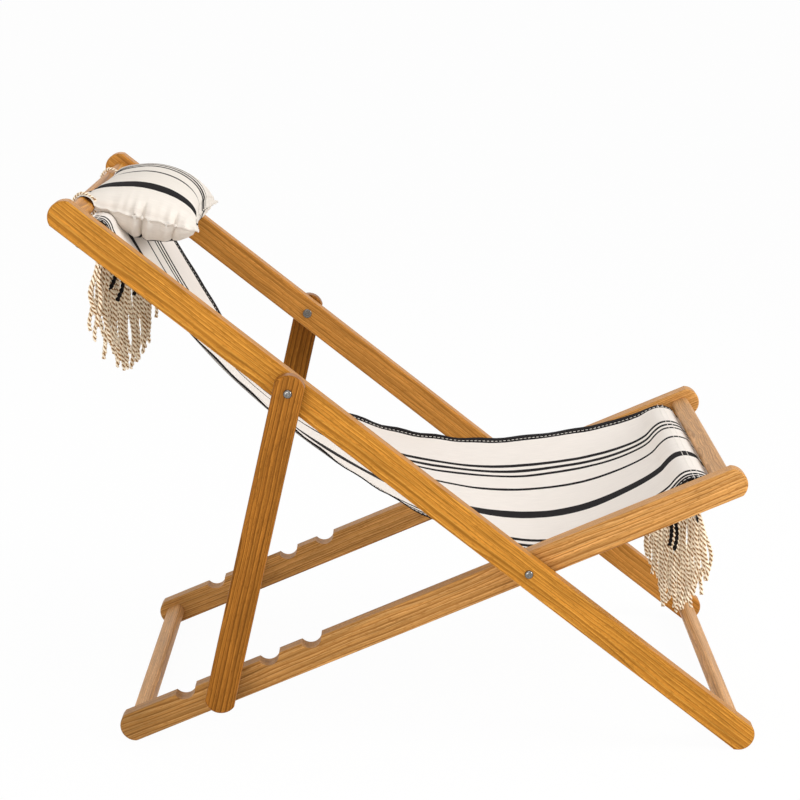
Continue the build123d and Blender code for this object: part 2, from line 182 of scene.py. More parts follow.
def oiled_teak(node, run, heart, swirl, waver, ring, tones, ends):
    """Teak on one board: thin dark rings round a heart line beside it, streaks and open pores along it.

    The heart line's place, its swirl, the fibres' waver and the rings are in mm; ends scale the tone at the
    two ends.
    """
    wood, tree = new_material("oiled_teak_" + node)
    place = add(tree, "ShaderNodeTexCoord")
    turn = Vector(run).normalized().to_track_quat("X", "Z").to_euler()
    # The board's own axes, in mm, with x along the grain
    board = add(
        tree,
        "ShaderNodeMapping",
        {
            "Vector": place.outputs["Object"],
            "Location": middle(node),
            "Rotation": turn,
            "Scale": (0.001, 0.001, 0.001),
        },
        vector_type="TEXTURE",
    )
    # The heart line wanders over 310 mm of length or so, and the fibres waver over 70 mm
    bent = board.outputs[0]
    for reach, girth, push in ((310, 60, swirl), (70, 20, waver)):
        size = (1 / reach, 1 / girth, 1 / girth)
        drift = add(tree, "ShaderNodeVectorMath", {0: board.outputs[0], 1: size}, operation="MULTIPLY")
        wander = add(
            tree,
            "ShaderNodeTexNoise",
            {"Vector": drift.outputs[0], "Scale": 1.0, "Detail": 1.0, "Roughness": 0.4},
        )
        moved = add(
            tree,
            "ShaderNodeVectorMath",
            {0: wander.outputs["Color"], 1: (0, push, push), 2: bent},
            operation="MULTIPLY_ADD",
        )
        bent = moved.outputs[0]
    flat = add(tree, "ShaderNodeVectorMath", {0: bent, 1: (0, 1, 1)}, operation="MULTIPLY")
    radius = add(tree, "ShaderNodeVectorMath", {0: flat.outputs[0], 1: (0, *heart)}, operation="DISTANCE")
    # Rings a few mm apart, uneven from year to year, each ending in a thin dark line
    year_change, uneven_by, late_share = 0.13, 1.5, 0.65
    years = add(
        tree,
        "ShaderNodeTexNoise",
        {"W": radius.outputs["Value"], "Scale": year_change, "Detail": 2.0},
        noise_dimensions="1D",
    )
    uneven = add(
        tree,
        "ShaderNodeMath",
        {0: years.outputs[0], 1: ring * uneven_by, 2: radius.outputs["Value"]},
        operation="MULTIPLY_ADD",
    )
    count = add(tree, "ShaderNodeMath", {0: uneven.outputs[0], 1: ring}, operation="DIVIDE")
    year = add(tree, "ShaderNodeMath", {0: count.outputs[0]}, operation="FRACT")
    light, body, deep = (linear(tone) for tone in tones)
    late = [(1 - late_share) * b + late_share * d for b, d in zip(body, deep)]
    rings = add(tree, "ShaderNodeValToRGB", {0: year.outputs[0]})
    stops = rings.color_ramp.elements
    stops[0].color = light
    stops[1].color = light
    for at, tone in ((0.30, body), (0.62, body), (0.80, late), (0.90, late), (0.97, body)):
        stops.new(at).color = tone
    # Streaks about 1.4 mm wide and 70 mm long, soft bands of tone 7 mm wide, and pores: short dark ticks
    # that catch the oil, drawn 1 mm wide so that they show
    layers = []
    for reach, girth, detail in ((70, 1.4, 4.0), (200, 7, 3.0), (11, 1.0, 1.0)):
        size = (1 / reach, 1 / girth, 1 / girth)
        drawn = add(tree, "ShaderNodeVectorMath", {0: bent, 1: size}, operation="MULTIPLY")
        noise = add(
            tree,
            "ShaderNodeTexNoise",
            {"Vector": drawn.outputs[0], "Scale": 1.0, "Detail": detail, "Roughness": 0.65},
        )
        layers.append(noise.outputs[0])
    fibre, band, pore = layers
    streak = add(
        tree,
        "ShaderNodeMapRange",
        {"Value": fibre, "From Min": 0.3, "From Max": 0.7, "To Min": 0.68, "To Max": 1.24},
    )
    shade = add(
        tree,
        "ShaderNodeMapRange",
        {"Value": band, "From Min": 0.28, "From Max": 0.72, "To Min": 0.72, "To Max": 1.18},
    )
    # Tone scaled along the board from one end's factor to the other's: some boards are darker at one end
    half_board = 500
    lengthwise = add(tree, "ShaderNodeSeparateXYZ", {0: board.outputs[0]})
    lengthwise_tone = add(
        tree,
        "ShaderNodeMapRange",
        {
            "Value": lengthwise.outputs["X"],
            "From Min": -half_board,
            "From Max": half_board,
            "To Min": ends[0],
            "To Max": ends[1],
        },
    )
    tone = add(tree, "ShaderNodeMath", {0: streak.outputs[0], 1: shade.outputs[0]}, operation="MULTIPLY")
    tone = add(tree, "ShaderNodeMath", {0: tone.outputs[0], 1: lengthwise_tone.outputs[0]}, operation="MULTIPLY")
    tinted = add(
        tree,
        "ShaderNodeVectorMath",
        {0: rings.outputs[0], "Scale": tone.outputs[0]},
        operation="SCALE",
    )
    open_pore = add(
        tree,
        "ShaderNodeMapRange",
        {"Value": pore, "From Min": 0.57, "From Max": 0.68, "To Min": 0.0, "To Max": 0.62},
    )
    grain = add(
        tree,
        "ShaderNodeMix",
        {0: open_pore.outputs[0], 6: tinted.outputs[0], 7: deep},
        data_type="RGBA",
    )
    sheen = add(tree, "ShaderNodeMapRange", {"Value": fibre, "To Min": 0.34, "To Max": 0.56})
    relief = add(tree, "ShaderNodeMath", {0: fibre, 1: open_pore.outputs[0]}, operation="SUBTRACT")
    bump = add(tree, "ShaderNodeBump", {"Height": relief.outputs[0], "Strength": 0.15, "Distance": 0.0004})
    surface = add(
        tree,
        "ShaderNodeBsdfPrincipled",
        {
            "Base Color": grain.outputs[2],
            "Roughness": sheen.outputs[0],
            "Normal": bump.outputs[0],
            "Specular IOR Level": 0.25,
            "Specular Tint": linear("#e6b070"),
        },
    )
    add(tree, "ShaderNodeOutputMaterial", {"Surface": surface.outputs[0]})
    materials = frame["nodes"][node].data.materials
    materials.clear()
    materials.append(wood)


golden = ("#cf943f", "#c08030", "#8c591b")
honey = ("#cf944a", "#c2843e", "#9a6428")
brown = ("#d5a163", "#c48d4e", "#8a5726")
dark = ("#b8792f", "#a06424", "#653a10")
tan = ("#d0a06e", "#c49460", "#9e6e40")
joints = {joint["name"]: joint for joint in frame["joints"]}
back_run = middle("front_foot_bar") - middle("top_rail")
seat_run = middle("front_rail") - middle("rear_foot_bar")
prop_run = middle("prop_bar") - Vector(joints["prop_swing"]["pos_m"])
across_run = (0, 1, 0)
for node, run, heart, swirl, waver, ring, tones, ends in (
    ("back_rail_right", back_run, (62, -31), 12, 1.6, 3.0, golden, (1.0, 1.0)),
    ("back_rail_left", back_run, (-150, 74), 8, 2.4, 3.2, honey, (1.0, 1.0)),
    ("seat_rail_right", seat_run, (95, 58), 9, 1.6, 3.2, brown, (0.64, 1.12)),
    ("seat_rail_left", seat_run, (-88, -64), 8, 1.6, 3.2, brown, (0.82, 1.1)),
    ("prop_leg_right", prop_run, (120, 62), 5, 1.4, 3.0, dark, (1.0, 0.78)),
    ("prop_leg_left", prop_run, (-124, -55), 5, 1.4, 3.0, dark, (0.8, 0.8)),
    ("prop_bar", across_run, (40, 28), 8, 2.0, 4.0, brown, (1.0, 1.0)),
    ("top_rail", across_run, (55, -34), 8, 2.0, 4.0, golden, (1.0, 1.0)),
    ("front_rail", across_run, (70, 48), 9, 9.0, 2.6, tan, (1.0, 1.0)),
    ("front_foot_bar", across_run, (48, 25), 8, 2.0, 3.0, tan, (1.2, 1.2)),
    ("rear_foot_bar", across_run, (-52, 30), 8, 2.0, 3.0, tan, (1.2, 1.2)),
    ("top_sling_rod", across_run, (30, 20), 6, 1.5, 4.0, golden, (1.0, 1.0)),
    ("front_sling_rod", across_run, (30, -20), 6, 1.5, 4.0, golden, (1.0, 1.0)),
):
    oiled_teak(node, run, heart, swirl, waver, ring, tones, ends)


# Pivot bolts, round nuts, washers and lock screws: plated steel, turned and polished, with faint turning
# marks that spread the highlights a little.
plate, tree = new_material("polished_plated_steel")
place = add(tree, "ShaderNodeTexCoord")
mark_size = 0.0012
marks = add(
    tree,
    "ShaderNodeTexNoise",
    {"Vector": place.outputs["Object"], "Scale": 1 / mark_size, "Detail": 2.0},
)
gloss = add(tree, "ShaderNodeMapRange", {"Value": marks.outputs[0], "To Min": 0.10, "To Max": 0.22})
# Its colour is darker than plated steel: painted shade for the dark half of each head's reflection
surface = add(
    tree,
    "ShaderNodeBsdfPrincipled",
    {"Base Color": linear("#7b7976"), "Metallic": 1.0, "Roughness": gloss.outputs[0]},
)
add(tree, "ShaderNodeOutputMaterial", {"Surface": surface.outputs[0]})
for node in (
    "main_pivot_bolts",
    "main_pivot_nuts",
    "main_pivot_washers",
    "prop_pivot_bolts",
    "prop_pivot_nuts",
    "prop_pivot_washers",
    "top_lock_screws",
    "front_lock_screws",
):
    materials = frame["nodes"][node].data.materials
    materials.clear()
    materials.append(plate)


# Sling: one length of striped cotton canvas, hemmed in black along both sides. Each end goes over its
# rod and back under it, is sewn down as a pocket, and hangs below as a tail that ends in the fringe.
# It hangs askew: its left edge is fuller at the back, its right edge fuller at the seat.
top_rod, front_rod = middle("top_sling_rod"), middle("front_sling_rod")
half_width = 0.228
cloth_thick = 0.0016
greatest_sag = 0.214
# Five places along each edge: the share of the way between the rods, and the share of the greatest sag
left_edge = ((0.178, 0.52), (0.310, 0.99), (0.543, 1.02), (0.725, 0.80), (0.885, 0.355))
right_edge = ((0.181, 0.395), (0.361, 0.725), (0.582, 0.96), (0.774, 0.937), (0.866, 0.727))
# How much lower the middle of the cloth hangs at those places, and its right hem
middle_sag = (0.0210, 0.0135, 0.0170, 0.0095, 0.0120)
near_droop = (0.0, 0.0, 0.0, 0.008, 0.012)
slack_power = 3.3
# Each pocket in mm outward and upward of its rod, from the tail's hem to the rod's top: the top one is
# snug, the front one loose enough to lie on the front rail's edge
top_pocket = ((-8, -55), (-8, -30), (-8, -17), (4, -17), (9.3, -10), (9.1, -3.8), (9.1, 3.8), (3.6, 10.4))
front_pocket = (
    (-8, -55), (-8, -34), (-8, -27), (2, -31), (14, -28),
    (20, -18), (20, -7), (13, -1.5), (9.5, 5.5), (2.5, 10.8),
)
# Where the sheet leaves each rod, in mm along x and upward of it
top_fall = ((17.6, 6.8), (24.3, -22.2))
front_rise = ((-54, -2.5), (-31, 8.6), (-13, 14.4))
# It dips before it rises to the front rod, in mm, less and less from the middle to the left hem
front_dip = 20.3
row_count, line_steps = 77, 14


def soft_line(points, steps):
    """Quadratic B-spline through the runs between points, from the first to the last."""
    points = np.array(points, float)
    joints_between = (points[1:-2] + points[2:-1]) / 2
    starts = np.vstack([points[:1], joints_between])
    ends = np.vstack([joints_between, points[-1:]])
    line = []
    for start, corner, end in zip(starts, points[1:-1], ends):
        t = np.linspace(0, 1, steps, endpoint=False)[:, None]
        line.append((1 - t) ** 2 * start + 2 * t * (1 - t) * corner + t**2 * end)
    return np.vstack([*line, points[-1:]])


def sling_line(across):
    """Side view of the cloth at one place across its width, as x and z, from hem to hem."""
    share = (across / half_width + 1) / 2
    slack = 1 - abs(across / half_width) ** slack_power
    edge = np.array(right_edge) * (1 - share) + np.array(left_edge) * share
    start, end = np.array([top_rod.x, top_rod.z]), np.array([front_rod.x, front_rod.z])
    run = end - start
    below = np.array([run[1], -run[0]]) / np.linalg.norm(run)
    # 0 up to halfway between the middle and the right hem, and 1 at the hem
    near = min(max(-across / half_width * 2 - 1, 0), 1) ** 2
    drop = edge[:, 1] * greatest_sag + np.array(middle_sag) * slack + np.array(near_droop) * near
    hung = start + run * edge[:, :1] + np.outer(drop, below)
    rise = np.array(front_rise)
    rise[0, 1] -= front_dip * (slack if across > 0 else 1)
    return soft_line(
        np.vstack(
            [
                start + np.array(top_pocket) / 1000 * (-1, 1),
                start + np.array(top_fall) / 1000,
                hung,
                end + rise / 1000,
                end + np.array(front_pocket)[::-1] / 1000,
            ]
        ),
        line_steps,
    )


def woven_faces(corners):
    """Four-sided faces between the neighbours in a grid of point numbers."""
    around = [corners[:-1, :-1], corners[1:, :-1], corners[1:, 1:], corners[:-1, 1:]]
    return np.stack(around, -1).reshape(-1, 4)


rows = np.linspace(-half_width, half_width, row_count)
grid = np.array([[(x, across, z) for x, z in sling_line(across)] for across in rows])
middle_line = grid[row_count // 2]
along = np.concatenate([[0], np.cumsum(np.linalg.norm(np.diff(middle_line, axis=0), axis=1))])
sling_length = float(along[-1])
# Both hems ripple by a millimetre or two between the rods, and the whole sheet by less
ripple_clear, ripple_from = 0.15, 0.17
hem_ripple, hem_waves = 0.0015, 95
sheet_ripple, sheet_waves, cross_waves = 0.0007, 41, 60
free = np.clip(np.sin(np.pi * (along - ripple_clear) / (sling_length - 2 * ripple_clear)), 0, 1)
near_hem = np.clip((np.abs(rows) - ripple_from) / (half_width - ripple_from), 0, 1)[:, None] ** 2
grid[:, :, 2] += near_hem * free * hem_ripple * np.sin(along * hem_waves + np.sign(rows)[:, None])
grid[:, :, 2] += free * sheet_ripple * np.sin(along * sheet_waves + rows[:, None] * cross_waves)
# A soft fold runs down the back along the wide stripe
fold_at, fold_wide, fold_deep = -0.087, 0.016, 0.0022
fold_start, fold_run = 0.12, 0.42
fold_lean = (0.62, 0.78)
from_fold = (rows[:, None] - fold_at) / fold_wide
lasting = np.clip(np.sin(np.pi * (along - fold_start) / fold_run), 0, 1)
lasting *= (along > fold_start) & (along < fold_start + fold_run)
fold = -fold_deep * from_fold * np.exp(0.5 - from_fold**2 / 2) * lasting
grid[:, :, 0] += fold * fold_lean[0]
grid[:, :, 2] += fold * fold_lean[1]
steps = len(along)
faces = woven_faces(np.arange(row_count * steps).reshape(row_count, steps))
sling_mesh = bpy.data.meshes.new("sling")
sling_mesh.from_pydata(grid.reshape(-1, 3).tolist(), [], faces.tolist())
sling_mesh.polygons.foreach_set("use_smooth", [True] * len(sling_mesh.polygons))
cut = np.stack(np.broadcast_arrays(rows[:, None] + half_width, along[None, :]), -1).reshape(-1, 2)
cloth_map = sling_mesh.uv_layers.new(name="cloth")
cloth_map.uv.foreach_set("vector", cut[faces.ravel()].astype(np.float32).ravel())
sling = bpy.data.objects.new("sling", sling_mesh)
scene.collection.objects.link(sling)
thicken = sling.modifiers.new("thickness", "SOLIDIFY")
thicken.thickness = cloth_thick
thicken.offset = 0.0


def striped_canvas(name, cream, width, stripes):
    """Plain-woven cotton: cream, with woven charcoal stripes given in mm from the middle of the cut."""
    canvas, tree = new_material(name)
    cut = add(tree, "ShaderNodeUVMap", uv_map="cloth")
    # Warp ends wander by half a millimetre or so, so a stripe's edge is never quite straight
    wobble_run, wobble_reach = 0.05, 0.0030
    wobble = add(
        tree,
        "ShaderNodeTexNoise",
        {"Vector": cut.outputs[0], "Scale": 1 / wobble_run, "Detail": 2.0},
    )
    sway = add(
        tree,
        "ShaderNodeVectorMath",
        {0: wobble.outputs["Color"], 1: (wobble_reach, 0, 0), 2: cut.outputs[0]},
        operation="MULTIPLY_ADD",
    )
    axes = add(tree, "ShaderNodeSeparateXYZ", {0: sway.outputs[0]})
    place = add(
        tree,
        "ShaderNodeMapRange",
        {
            "Value": axes.outputs["X"],
            "From Min": wobble_reach / 2,
            "From Max": width + wobble_reach / 2,
        },
    )
    bands = add(tree, "ShaderNodeValToRGB", {0: place.outputs[0]})
    stops = bands.color_ramp.elements
    bands.color_ramp.interpolation = "CONSTANT"
    edges = [(0.0, 0.0), (1.0, 0.0)]
    for low, high in stripes:
        edges += [(low / 1000 / width + 0.5, 1.0), (high / 1000 / width + 0.5, 0.0)]
    for at, ink in sorted(edges):
        if 0 < at < 1:
            stops.new(at).color = (ink, ink, ink, 1)
    # A first stripe that starts at the cut's edge is a hem, and both sides have one
    hem_ink = 1.0 if stripes[0][0] <= -500 * width else 0.0
    for stop in (stops[0], stops[len(stops) - 1]):
        stop.color = (hem_ink, hem_ink, hem_ink, 1)
    # Threads 0.7 mm apart, drawn at 1.4 mm so that they show, and slubs along the stripes. A wave node at
    # scale 1 turns through 20 radians to the metre
    thread_pitch, wave_radians = 0.0014, 20
    slub_wide, slub_long = 0.0016, 0.03
    lines = []
    for way in ("X", "Y"):
        wave = add(
            tree,
            "ShaderNodeTexWave",
            {"Vector": cut.outputs[0], "Scale": 2 * math.pi / wave_radians / thread_pitch},
            bands_direction=way,
        )
        lines.append(wave.outputs["Fac"])
    weave = add(tree, "ShaderNodeMath", {0: lines[0], 1: lines[1]}, operation="MULTIPLY")
    slub = add(
        tree,
        "ShaderNodeVectorMath",
        {0: cut.outputs[0], 1: (1 / slub_wide, 1 / slub_long, 1)},
        operation="MULTIPLY",
    )
    slubs = add(tree, "ShaderNodeTexNoise", {"Vector": slub.outputs[0], "Scale": 1.0, "Detail": 2.0})
    fleck = add(
        tree,
        "ShaderNodeMapRange",
        {"Value": slubs.outputs[0], "From Min": 0.3, "From Max": 0.75, "To Min": 1.0, "To Max": 0.93},
    )
    thread = add(tree, "ShaderNodeMapRange", {"Value": weave.outputs[0], "To Min": 0.93, "To Max": 1.0})
    level = add(tree, "ShaderNodeMath", {0: fleck.outputs[0], 1: thread.outputs[0]}, operation="MULTIPLY")
    yarn = add(
        tree,
        "ShaderNodeMix",
        {0: bands.outputs[0], 6: linear(cream), 7: linear("#1a1718")},
        data_type="RGBA",
    )
    shade = add(
        tree,
        "ShaderNodeVectorMath",
        {0: yarn.outputs[2], "Scale": level.outputs[0]},
        operation="SCALE",
    )
    height = add(tree, "ShaderNodeMath", {0: weave.outputs[0], 1: slubs.outputs[0]}, operation="ADD")
    bump = add(tree, "ShaderNodeBump", {"Height": height.outputs[0], "Strength": 0.25, "Distance": 0.0005})
    surface = add(
        tree,
        "ShaderNodeBsdfPrincipled",
        {
            "Base Color": shade.outputs[0],
            "Roughness": 0.9,
            "Normal": bump.outputs[0],
            "Specular IOR Level": 0.15,
        },
    )
    add(tree, "ShaderNodeOutputMaterial", {"Surface": surface.outputs[0]})
    return canvas


sling_stripes = (
    (-228, -212), (-209, -200), (-191, -182), (-100, -74), (11, 20),
    (68, 78), (89, 99), (110, 120), (209, 228),
)
sling_canvas = striped_canvas("striped_cotton_canvas", "#f2eae2", 2 * half_width, sling_stripes)
sling_mesh.materials.append(sling_canvas)
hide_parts("sling_back", "sling_seat")


# Stitching: white thread in a dashed line along each black hem, and two rows across the cloth where
# each pocket is sewn down. A stitch is about 5 mm long with a 2 mm gap.
def stitch_tree():
    """Stitches spaced along each line of a mesh."""
    tree = bpy.data.node_groups.new("stitches", "GeometryNodeTree")
    tree.interface.new_socket("Geometry", in_out="INPUT", socket_type="NodeSocketGeometry")
    for name in ("Spacing", "Length", "Thread"):
        tree.interface.new_socket(name, in_out="INPUT", socket_type="NodeSocketFloat")
    tree.interface.new_socket("Cotton", in_out="INPUT", socket_type="NodeSocketMaterial")
    tree.interface.new_socket("Geometry", in_out="OUTPUT", socket_type="NodeSocketGeometry")
    seam = add(tree, "NodeGroupInput").outputs
    line = add(tree, "GeometryNodeMeshToCurve", {"Mesh": seam["Geometry"]})
    spots = add(
        tree,
        "GeometryNodeCurveToPoints",
        {"Curve": line.outputs[0], "Length": seam["Spacing"]},
        mode="LENGTH",
    )
    ball = add(tree, "GeometryNodeMeshIcoSphere", {"Radius": 0.5, "Subdivisions": 2})
    size = add(
        tree,
        "ShaderNodeCombineXYZ",
        {"X": seam["Thread"], "Y": seam["Thread"], "Z": seam["Length"]},
    )
    sewn = add(
        tree,
        "GeometryNodeInstanceOnPoints",
        {
            "Points": spots.outputs["Points"],
            "Instance": ball.outputs[0],
            "Rotation": spots.outputs["Rotation"],
            "Scale": size.outputs[0],
        },
    )
    real = add(tree, "GeometryNodeRealizeInstances", {0: sewn.outputs[0]})
    smooth = add(tree, "GeometryNodeSetShadeSmooth", {0: real.outputs[0]})
    dressed = add(
        tree,
        "GeometryNodeSetMaterial",
        {"Geometry": smooth.outputs[0], "Material": seam["Cotton"]},
    )
    add(tree, "NodeGroupOutput", {0: dressed.outputs[0]})
    return tree


def lines_mesh(name, lines):
    """Edges along each line of points, for a tree that follows them."""
    points = np.vstack(lines)
    ends = np.cumsum([len(line) for line in lines])
    edges = [(i, i + 1) for i in range(len(points) - 1) if i + 1 not in ends]
    mesh = bpy.data.meshes.new(name)
    mesh.from_pydata(points.tolist(), edges, [])
    piece = bpy.data.objects.new(name, mesh)
    scene.collection.objects.link(piece)
    return piece


def grown(piece, tree, inputs):
    """Runs a tree on the piece and keeps its result as a plain mesh."""
    modifier = piece.modifiers.new("tree", "NODES")
    modifier.node_group = tree
    for socket in tree.interface.items_tree:
        if socket.in_out == "INPUT" and socket.name in inputs:
            modifier[socket.identifier] = inputs[socket.name]
    result = piece.evaluated_get(bpy.context.evaluated_depsgraph_get())
    mesh = bpy.data.meshes.new_from_object(result)
    piece.modifiers.clear()
    piece.data = mesh
    return piece


thread, tree = new_material("white_cotton_thread")
place = add(tree, "ShaderNodeTexCoord")
twist_size = 0.0008
twist = add(
    tree,
    "ShaderNodeTexNoise",
    {"Vector": place.outputs["Object"], "Scale": 1 / twist_size, "Detail": 1.0},
)
tint = add(
    tree,
    "ShaderNodeMix",
    {0: twist.outputs[0], 6: linear("#f4f0e9"), 7: linear("#d2cabd")},
    data_type="RGBA",
)
surface = add(tree, "ShaderNodeBsdfPrincipled", {"Base Color": tint.outputs[2], "Roughness": 0.8})
add(tree, "ShaderNodeOutputMaterial", {"Surface": surface.outputs[0]})

thread_proud = 0.0001
hem_seams = (-0.2195, 0.217)
pocket_seams = (top_rod.x - 0.004, top_rod.x + 0.004, front_rod.x - 0.0150, front_rod.x - 0.0070)
# The hem's stitches stop this many points of the cloth short of each rod
seam_stop = 20
lift = np.array([0, 0, cloth_thick / 2 + thread_proud])
first, last = int(grid[0, :, 0].argmin()), int(grid[0, :, 0].argmax())
seams = []
for reach in hem_seams:
    row = int(np.abs(rows - reach).argmin())
    seams.append(grid[row, first + seam_stop : last - seam_stop] + lift)
for x in pocket_seams:
    crossing = [(x, line[0, 1], np.interp(x, line[:, 0], line[:, 2])) for line in grid[:, first:last]]
    seams.append(np.array(crossing) + lift)
stitches = grown(
    lines_mesh("sling_stitches", seams),
    stitch_tree(),
    {"Spacing": 0.007, "Length": 0.005, "Thread": 0.0013, "Cotton": thread},
)


# Fringe: two-ply cotton cords fixed along the hem of each tail, natural in colour, with three black ones
# at each end of the sling. They hang free, bunch a little and differ in length.
def cord_tree():
    """Two plies twisted round each line of a mesh."""
    tree = bpy.data.node_groups.new("two_ply_cord", "GeometryNodeTree")
    tree.interface.new_socket("Geometry", in_out="INPUT", socket_type="NodeSocketGeometry")
    for name in ("Thickness", "Lay"):
        tree.interface.new_socket(name, in_out="INPUT", socket_type="NodeSocketFloat")
    tree.interface.new_socket("Cotton", in_out="INPUT", socket_type="NodeSocketMaterial")
    tree.interface.new_socket("Geometry", in_out="OUTPUT", socket_type="NodeSocketGeometry")
    root = add(tree, "NodeGroupInput").outputs
    line = add(tree, "GeometryNodeMeshToCurve", {"Mesh": root["Geometry"]})
    points_a_turn = 8.0
    step = add(tree, "ShaderNodeMath", {0: root["Lay"], 1: points_a_turn}, operation="DIVIDE")
    fine = add(
        tree,
        "GeometryNodeResampleCurve",
        {"Curve": line.outputs[0], "Length": step.outputs[0]},
        mode="LENGTH",
    )
    plies = add(
        tree,
        "GeometryNodeDuplicateElements",
        {"Geometry": fine.outputs[0], "Amount": 2},
        domain="SPLINE",
    )
    run = add(tree, "GeometryNodeSplineParameter")
    turns = add(tree, "ShaderNodeMath", {0: run.outputs["Length"], 1: root["Lay"]}, operation="DIVIDE")
    side = add(
        tree,
        "ShaderNodeMath",
        {0: plies.outputs["Duplicate Index"], 1: 0.5, 2: turns.outputs[0]},
        operation="MULTIPLY_ADD",
    )
    angle = add(tree, "ShaderNodeMath", {0: side.outputs[0], 1: -2 * math.pi}, operation="MULTIPLY")
    tangent = add(tree, "GeometryNodeInputTangent")
    normal = add(tree, "GeometryNodeInputNormal")
    spun = add(
        tree,
        "ShaderNodeVectorRotate",
        {"Vector": normal.outputs[0], "Axis": tangent.outputs[0], "Angle": angle.outputs[0]},
        rotation_type="AXIS_ANGLE",
    )
    # A ply is half as thick as the cord and lies its own radius off the cord's middle
    ply = add(tree, "ShaderNodeMath", {0: root["Thickness"], 1: 0.25}, operation="MULTIPLY")
    offset = add(
        tree,
        "ShaderNodeVectorMath",
        {0: spun.outputs[0], "Scale": ply.outputs[0]},
        operation="SCALE",
    )
    centre = add(tree, "GeometryNodeInputPosition")
    kept = add(tree, "GeometryNodeCaptureAttribute", {"Geometry": plies.outputs[0]})
    kept.capture_items.new("VECTOR", "Centre")
    tree.links.new(centre.outputs[0], kept.inputs["Centre"])
    laid = add(tree, "GeometryNodeSetPosition", {"Geometry": kept.outputs[0], "Offset": offset.outputs[0]})
    ring = add(tree, "GeometryNodeCurvePrimitiveCircle", {"Resolution": 6, "Radius": ply.outputs[0]})
    tube = add(
        tree,
        "GeometryNodeCurveToMesh",
        {"Curve": laid.outputs[0], "Profile Curve": ring.outputs[0], "Fill Caps": True},
    )
    # How far out of the cord's middle a point lies, in thicknesses: low in the groove between the plies
    # The cords' colour paints shade in the groove where this depth is low
    out = add(
        tree,
        "ShaderNodeVectorMath",
        {0: centre.outputs[0], 1: kept.outputs["Centre"]},
        operation="DISTANCE",
    )
    depth = add(tree, "ShaderNodeMath", {0: out.outputs["Value"], 1: root["Thickness"]}, operation="DIVIDE")
    marked = add(
        tree,
        "GeometryNodeStoreNamedAttribute",
        {"Geometry": tube.outputs[0], "Name": "lay_depth", "Value": depth.outputs[0]},
    )
    real = add(tree, "GeometryNodeRealizeInstances", {0: marked.outputs[0]})
    smooth = add(tree, "GeometryNodeSetShadeSmooth", {0: real.outputs[0]})
    dressed = add(
        tree,
        "GeometryNodeSetMaterial",
        {"Geometry": smooth.outputs[0], "Material": root["Cotton"]},
    )
    add(tree, "NodeGroupOutput", {0: dressed.outputs[0]})
    return tree


def cotton_cord(name, pale_tone, groove_shade_and_fibre_tone):
    """Soft spun cotton: pale plies with painted shade in the groove between them, its fibres drawn coarse.
    """
    cotton, tree = new_material(name)
    place = add(tree, "ShaderNodeTexCoord").outputs["Object"]
    depth = add(tree, "ShaderNodeAttribute", attribute_name="lay_depth")
    fibre_size, patch_size = 0.0022, 0.03
    fibre = add(tree, "ShaderNodeTexNoise", {"Vector": place, "Scale": 1 / fibre_size, "Detail": 3.0})
    patch = add(tree, "ShaderNodeTexNoise", {"Vector": place, "Scale": 1 / patch_size, "Detail": 1.0})
    soft = add(tree, "ShaderNodeMath", {0: fibre.outputs[0], 1: patch.outputs[0]}, operation="MULTIPLY")
    # Painted shade: the colour deepens towards the groove between the plies, and at random with the fibres
    proud = add(
        tree,
        "ShaderNodeMath",
        {0: soft.outputs[0], 1: -0.35, 2: depth.outputs["Fac"]},
        operation="MULTIPLY_ADD",
    )
    amount = add(
        tree,
        "ShaderNodeMapRange",
        {"Value": proud.outputs[0], "From Min": 0.17, "From Max": 0.40},
    )
    tint = add(
        tree,
        "ShaderNodeMix",
        {0: amount.outputs[0], 6: linear(groove_shade_and_fibre_tone), 7: linear(pale_tone)},
        data_type="RGBA",
    )
    bump = add(tree, "ShaderNodeBump", {"Height": fibre.outputs[0], "Strength": 0.25, "Distance": 0.0005})
    surface = add(
        tree,
        "ShaderNodeBsdfPrincipled",
        {
            "Base Color": tint.outputs[2],
            "Roughness": 0.92,
            "Normal": bump.outputs[0],
            "Specular IOR Level": 0.15,
        },
    )
    add(tree, "ShaderNodeOutputMaterial", {"Surface": surface.outputs[0]})
    return cotton


# Each cord's second colour is painted shade in the groove between its plies, and its darker fibres
natural_cord = cotton_cord("natural_cotton_cord", "#fff1d8", "#9c6a26")
black_cord = cotton_cord("black_cotton_cord", "#221f20", "#121112")
two_ply = cord_tree()
cord_thick, cord_lay = 0.0069, 0.0155
cord_count, cord_points = 52, 17
tail_drop, tail_inset = 0.055, 0.008
# A cord starts on the tail, above its hem, and falls by this much more than its given length
cord_start, cord_extra = 0.016, 0.014
cord_short, cord_uneven = 0.012, 0.012
# From right to left the cords grow longer and then a little shorter, over part of a half wave
longer_from, longer_run = 0.1, 0.6
# The outermost cords hang at the hems. The fringe bows outward at the right and inward at the left
fringe_spread, fringe_lean = 2.04, 0.014
cord_sway, sway_full, bow_turn = 0.008, 1.05, 0.62
cord_drawn, black_drawn = 0.009, -0.06
cord_bend, cord_wave, wave_turn = 0.0038, 0.003, 8
# Steps of phase from cord to cord, which keep neighbours unlike
length_step, sway_step, drawn_step, bend_step, wave_step = 2.4, 1.7, 3.1, 2.3, 1.9
